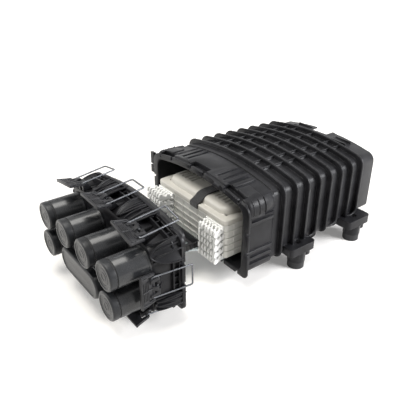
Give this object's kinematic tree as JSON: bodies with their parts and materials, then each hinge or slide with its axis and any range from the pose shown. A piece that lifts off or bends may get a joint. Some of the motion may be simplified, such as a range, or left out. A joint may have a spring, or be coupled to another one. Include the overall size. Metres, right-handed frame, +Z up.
{
  "type": "dome splice closure",
  "caption": "Ribbed black dome on feet with its latched cable-port base drawn out, carrying a bracket and a stack of fibre splice trays.",
  "frame": {"origin": "centre of the four foot bolt holes, on the surface it stands on", "axes": "+X towards the dome's closed end, +Y to the left of a person facing that end, +Z up"},
  "size_m": [0.5364, 0.276, 0.176],
  "materials": {
    "dome_plastic": "satin black moulded polypropylene",
    "base_plastic": "satin black moulded polypropylene",
    "port_plastic": "satin black moulded polypropylene, smooth",
    "cap_plastic": "satin black moulded polypropylene, smooth",
    "lever_plastic": "black glass-filled polyamide",
    "basket_plastic": "black moulded plastic",
    "tray_plastic": "off-white moulded ABS",
    "cover_plastic": "off-white moulded ABS, satin",
    "seal_rubber": "black elastomer seal",
    "foot_rubber": "dense black rubber",
    "latch_steel": "bright stainless wire",
    "galvanised_sheet": "zinc-plated steel sheet",
    "screw_steel": "zinc-plated pan-head screws",
    "strap_fabric": "black hook-and-loop webbing"
  },
  "bodies": {
    "dome": {"dome": "dome_plastic", "foot_pad_1": "foot_rubber", "foot_pad_2": "foot_rubber", "foot_pad_3": "foot_rubber", "foot_pad_4": "foot_rubber"},
    "base": {"base_plate": "base_plastic", "seal_ring": "seal_rubber", "port_tube_1": "port_plastic", "port_tube_2": "port_plastic", "port_tube_3": "port_plastic", "port_tube_4": "port_plastic", "port_tube_5": "port_plastic", "port_tube_6": "port_plastic", "port_ring_1": "seal_rubber", "port_ring_2": "seal_rubber", "port_ring_3": "seal_rubber", "port_ring_4": "seal_rubber", "port_ring_5": "seal_rubber", "port_ring_6": "seal_rubber", "oval_tube": "port_plastic", "oval_ring": "seal_rubber", "latch_pins": "latch_steel", "tray_bracket": "galvanised_sheet", "bracket_screws": "screw_steel", "slack_basket": "basket_plastic", "tray_1": "tray_plastic", "tray_2": "tray_plastic", "tray_3": "tray_plastic", "tray_4": "tray_plastic", "tray_5": "tray_plastic", "tray_cover": "cover_plastic", "tray_strap": "strap_fabric"},
    "lever_1": {"lever_1": "lever_plastic"},
    "bail_1": {"bail_1": "latch_steel"},
    "lever_2": {"lever_2": "lever_plastic"},
    "bail_2": {"bail_2": "latch_steel"},
    "lever_3": {"lever_3": "lever_plastic"},
    "bail_3": {"bail_3": "latch_steel"},
    "lever_4": {"lever_4": "lever_plastic"},
    "bail_4": {"bail_4": "latch_steel"},
    "lever_5": {"lever_5": "lever_plastic"},
    "bail_5": {"bail_5": "latch_steel"},
    "lever_6": {"lever_6": "lever_plastic"},
    "bail_6": {"bail_6": "latch_steel"},
    "lever_7": {"lever_7": "lever_plastic"},
    "bail_7": {"bail_7": "latch_steel"},
    "lever_8": {"lever_8": "lever_plastic"},
    "bail_8": {"bail_8": "latch_steel"},
    "port_cap_1": {"port_cap_1": "cap_plastic"},
    "port_cap_2": {"port_cap_2": "cap_plastic"},
    "port_cap_3": {"port_cap_3": "cap_plastic"},
    "port_cap_4": {"port_cap_4": "cap_plastic"},
    "port_cap_5": {"port_cap_5": "cap_plastic"},
    "port_cap_6": {"port_cap_6": "cap_plastic"},
    "oval_cap": {"oval_cap": "cap_plastic"}
  },
  "joints": [
    {"name": "base_slide", "type": "slide", "parent": "dome", "child": "base", "axis": [1, 0, 0], "range_m": [-0.2, 0.1127]},
    {"name": "lever_1_turn", "type": "hinge", "parent": "base", "child": "lever_1", "pos_m": [-0.3475, 0.08763, 0.15571], "axis": [0, -0.9826, 0.1858], "range_deg": [-80, 13]},
    {"name": "bail_1_turn", "type": "hinge", "parent": "lever_1", "child": "bail_1", "pos_m": [-0.35738, 0.08792, 0.15725], "axis": [0, -0.9826, 0.1858], "range_deg": [-20, 121]},
    {"name": "lever_2_turn", "type": "hinge", "parent": "base", "child": "lever_2", "pos_m": [-0.3475, 0, 0.164], "axis": [0, -1, 0], "range_deg": [-80, 13]},
    {"name": "bail_2_turn", "type": "hinge", "parent": "lever_2", "child": "bail_2", "pos_m": [-0.35738, 0, 0.16556], "axis": [0, -1, 0], "range_deg": [-20, 121]},
    {"name": "lever_3_turn", "type": "hinge", "parent": "base", "child": "lever_3", "pos_m": [-0.3475, -0.08763, 0.15571], "axis": [0, -0.9826, -0.1858], "range_deg": [-80, 13]},
    {"name": "bail_3_turn", "type": "hinge", "parent": "lever_3", "child": "bail_3", "pos_m": [-0.35738, -0.08792, 0.15725], "axis": [0, -0.9826, -0.1858], "range_deg": [-20, 121]},
    {"name": "lever_4_turn", "type": "hinge", "parent": "base", "child": "lever_4", "pos_m": [-0.3475, -0.127, 0.088], "axis": [0, 0, -1], "range_deg": [-80, 13]},
    {"name": "bail_4_turn", "type": "hinge", "parent": "lever_4", "child": "bail_4", "pos_m": [-0.35738, -0.12856, 0.088], "axis": [0, 0, -1], "range_deg": [-20, 121]},
    {"name": "lever_5_turn", "type": "hinge", "parent": "base", "child": "lever_5", "pos_m": [-0.3475, -0.088, 0.026], "axis": [0, 1, 0], "range_deg": [-80, 13]},
    {"name": "bail_5_turn", "type": "hinge", "parent": "lever_5", "child": "bail_5", "pos_m": [-0.35738, -0.088, 0.02444], "axis": [0, 1, 0], "range_deg": [-20, 121]},
    {"name": "lever_6_turn", "type": "hinge", "parent": "base", "child": "lever_6", "pos_m": [-0.3475, 0, 0.026], "axis": [0, 1, 0], "range_deg": [-80, 13]},
    {"name": "bail_6_turn", "type": "hinge", "parent": "lever_6", "child": "bail_6", "pos_m": [-0.35738, 0, 0.02444], "axis": [0, 1, 0], "range_deg": [-20, 121]},
    {"name": "lever_7_turn", "type": "hinge", "parent": "base", "child": "lever_7", "pos_m": [-0.3475, 0.088, 0.026], "axis": [0, 1, 0], "range_deg": [-80, 13]},
    {"name": "bail_7_turn", "type": "hinge", "parent": "lever_7", "child": "bail_7", "pos_m": [-0.35738, 0.088, 0.02444], "axis": [0, 1, 0], "range_deg": [-20, 121]},
    {"name": "lever_8_turn", "type": "hinge", "parent": "base", "child": "lever_8", "pos_m": [-0.3475, 0.127, 0.088], "axis": [0, 0, 1], "range_deg": [-80, 13]},
    {"name": "bail_8_turn", "type": "hinge", "parent": "lever_8", "child": "bail_8", "pos_m": [-0.35738, 0.12856, 0.088], "axis": [0, 0, 1], "range_deg": [-20, 121]},
    {"name": "port_cap_1_pull", "type": "slide", "parent": "base", "child": "port_cap_1", "axis": [1, 0, 0], "range_m": [-0.03, 0]},
    {"name": "port_cap_2_pull", "type": "slide", "parent": "base", "child": "port_cap_2", "axis": [1, 0, 0], "range_m": [-0.03, 0]},
    {"name": "port_cap_3_pull", "type": "slide", "parent": "base", "child": "port_cap_3", "axis": [1, 0, 0], "range_m": [-0.03, 0]},
    {"name": "port_cap_4_pull", "type": "slide", "parent": "base", "child": "port_cap_4", "axis": [1, 0, 0], "range_m": [-0.03, 0]},
    {"name": "port_cap_5_pull", "type": "slide", "parent": "base", "child": "port_cap_5", "axis": [1, 0, 0], "range_m": [-0.03, 0]},
    {"name": "port_cap_6_pull", "type": "slide", "parent": "base", "child": "port_cap_6", "axis": [1, 0, 0], "range_m": [-0.03, 0]},
    {"name": "oval_cap_pull", "type": "slide", "parent": "base", "child": "oval_cap", "axis": [1, 0, 0], "range_m": [-0.03, 0]}
  ],
  "couplings": [
    {"joint": "bail_1_turn", "follows": "lever_1_turn", "ratio": -1.5},
    {"joint": "bail_2_turn", "follows": "lever_2_turn", "ratio": -1.5},
    {"joint": "bail_3_turn", "follows": "lever_3_turn", "ratio": -1.5},
    {"joint": "bail_4_turn", "follows": "lever_4_turn", "ratio": -1.5},
    {"joint": "bail_5_turn", "follows": "lever_5_turn", "ratio": -1.5},
    {"joint": "bail_6_turn", "follows": "lever_6_turn", "ratio": -1.5},
    {"joint": "bail_7_turn", "follows": "lever_7_turn", "ratio": -1.5},
    {"joint": "bail_8_turn", "follows": "lever_8_turn", "ratio": -1.5}
  ]
}
